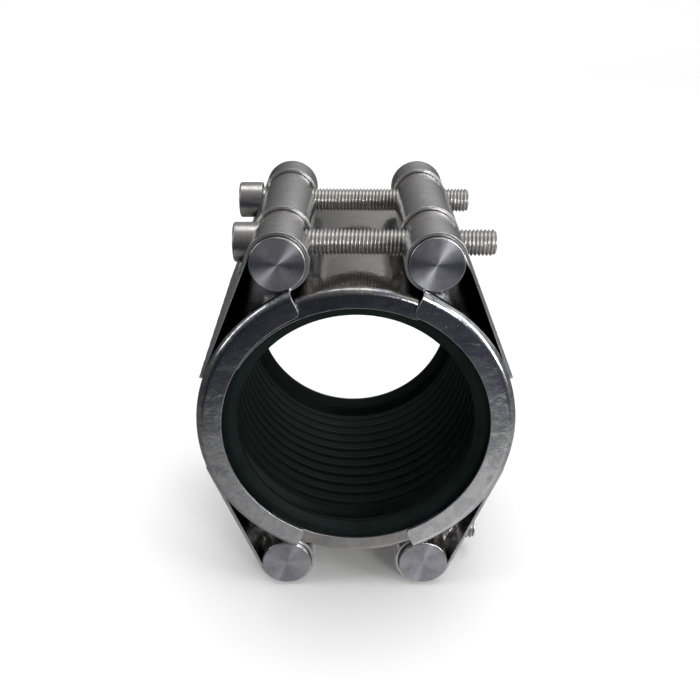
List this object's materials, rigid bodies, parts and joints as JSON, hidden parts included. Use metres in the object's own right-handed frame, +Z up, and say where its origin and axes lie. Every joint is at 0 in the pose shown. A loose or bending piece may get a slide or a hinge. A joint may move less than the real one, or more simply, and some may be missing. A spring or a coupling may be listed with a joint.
{
  "type": "pipe coupling",
  "caption": "Split pipe coupling: two stainless half shells round a ribbed rubber sleeve, drawn together by cap screws through round lock bars above and below.",
  "frame": {"origin": "middle of the bore, on the pipe axis and halfway between the end flanges", "axes": "+Y along the pipe axis, +Z up through the middle of the upper lock, +X towards the free ends of the screws"},
  "size_m": [0.146, 0.136, 0.184],
  "materials": {
    "casing_steel": "satin polished stainless sheet",
    "plate_steel": "bright cold-rolled stainless sheet",
    "bar_steel": "turned stainless bar",
    "screw_steel": "plain stainless fastener",
    "sleeve_rubber": "black moulded EPDM"
  },
  "bodies": {
    "core": {"sealing_sleeve": "sleeve_rubber", "top_bridge_plate": "plate_steel", "bottom_bridge_plate": "plate_steel"},
    "lower_left_bar": {"lower_left_lock_bar": "bar_steel"},
    "lower_right_bar": {"lower_right_lock_bar": "bar_steel"},
    "left_half": {"left_shell": "casing_steel"},
    "right_half": {"right_shell": "casing_steel"},
    "upper_left_bar": {"upper_left_lock_bar": "bar_steel"},
    "upper_right_bar": {"upper_right_lock_bar": "bar_steel"},
    "top_screw_front": {"top_screw_front": "screw_steel"},
    "top_screw_rear": {"top_screw_rear": "screw_steel"},
    "bottom_screw_front": {"bottom_screw_front": "screw_steel"},
    "bottom_screw_rear": {"bottom_screw_rear": "screw_steel"}
  },
  "joints": [
    {"name": "lower_left_bar_slide", "type": "slide", "parent": "core", "child": "lower_left_bar", "axis": [1, 0, 0], "range_m": [-0.0175, 0.00175]},
    {"name": "lower_right_bar_slide", "type": "slide", "parent": "core", "child": "lower_right_bar", "axis": [-1, 0, 0], "range_m": [-0.0176, 0.0018]},
    {"name": "top_screw_front_turn", "type": "hinge", "parent": "upper_left_bar", "child": "top_screw_front", "pos_m": [0, -0.0342, 0.07826], "axis": [1, 0, 0], "range_deg": [-7210, 722]},
    {"name": "top_screw_rear_turn", "type": "hinge", "parent": "upper_left_bar", "child": "top_screw_rear", "pos_m": [0, 0.0342, 0.07826], "axis": [1, 0, 0], "range_deg": [-7210, 722]},
    {"name": "bottom_screw_front_turn", "type": "hinge", "parent": "lower_left_bar", "child": "bottom_screw_front", "pos_m": [0, -0.0342, -0.07826], "axis": [1, 0, 0], "range_deg": [-7210, 722]},
    {"name": "bottom_screw_rear_turn", "type": "hinge", "parent": "lower_left_bar", "child": "bottom_screw_rear", "pos_m": [0, 0.0342, -0.07826], "axis": [1, 0, 0], "range_deg": [-7210, 722]},
    {"name": "left_half_swing", "type": "hinge", "parent": "lower_left_bar", "child": "left_half", "pos_m": [-0.0338, 0, -0.07826], "axis": [0, -1, 0], "range_deg": [0, 12]},
    {"name": "right_half_swing", "type": "hinge", "parent": "lower_right_bar", "child": "right_half", "pos_m": [0.0338, 0, -0.07826], "axis": [0, 1, 0], "range_deg": [-0.1, 12.1]},
    {"name": "upper_left_bar_swivel", "type": "hinge", "parent": "left_half", "child": "upper_left_bar", "pos_m": [-0.0338, 0, 0.07826], "axis": [0, 1, 0], "range_deg": [-0.1, 12.1]},
    {"name": "upper_right_bar_swivel", "type": "hinge", "parent": "right_half", "child": "upper_right_bar", "pos_m": [0.0338, 0, 0.07826], "axis": [0, -1, 0], "range_deg": [-0.1, 12.1]}
  ],
  "couplings": [
    {"joint": "lower_right_bar_slide", "follows": "lower_left_bar_slide", "ratio": 1},
    {"joint": "top_screw_front_turn", "follows": "lower_left_bar_slide", "rad_per_m": 7180.8},
    {"joint": "top_screw_rear_turn", "follows": "lower_left_bar_slide", "rad_per_m": 7180.8},
    {"joint": "bottom_screw_front_turn", "follows": "lower_left_bar_slide", "rad_per_m": 7180.8},
    {"joint": "bottom_screw_rear_turn", "follows": "lower_left_bar_slide", "rad_per_m": 7180.8},
    {"joint": "right_half_swing", "follows": "left_half_swing", "ratio": 1},
    {"joint": "upper_left_bar_swivel", "follows": "left_half_swing", "ratio": 1},
    {"joint": "upper_right_bar_swivel", "follows": "left_half_swing", "ratio": 1}
  ]
}
